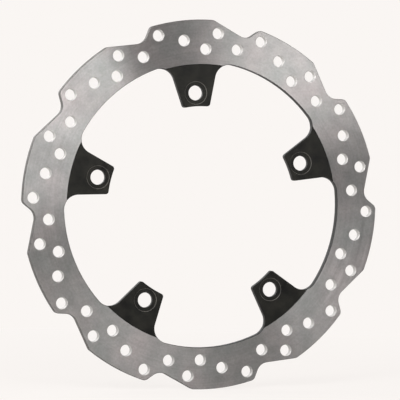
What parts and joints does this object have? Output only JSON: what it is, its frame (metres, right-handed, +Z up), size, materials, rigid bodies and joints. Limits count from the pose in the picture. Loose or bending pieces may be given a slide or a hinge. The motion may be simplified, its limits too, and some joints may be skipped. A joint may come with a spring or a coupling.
{
  "type": "brake disc",
  "caption": "One-piece wave brake disc for a motorcycle: ground ring with swept lobes and vent holes, and coated inward tabs drilled for hub bolts.",
  "frame": {"origin": "centre of the disc, on its axis, halfway through its thickness", "axes": "Y along the disc's axis, with the outer face looking along -Y; +Z up, with the disc upright as it stands on a wheel; the first tab is 22.65 degrees above +X"},
  "size_m": [0.248, 0.005, 0.248],
  "materials": {
    "ground_steel": "ground",
    "black_coating": "satin black coating"
  },
  "bodies": {
    "root": {"friction_ring": "ground_steel", "mounting_tab_1": "black_coating", "mounting_tab_2": "black_coating", "mounting_tab_3": "black_coating", "mounting_tab_4": "black_coating", "mounting_tab_5": "black_coating"}
  },
  "joints": []
}
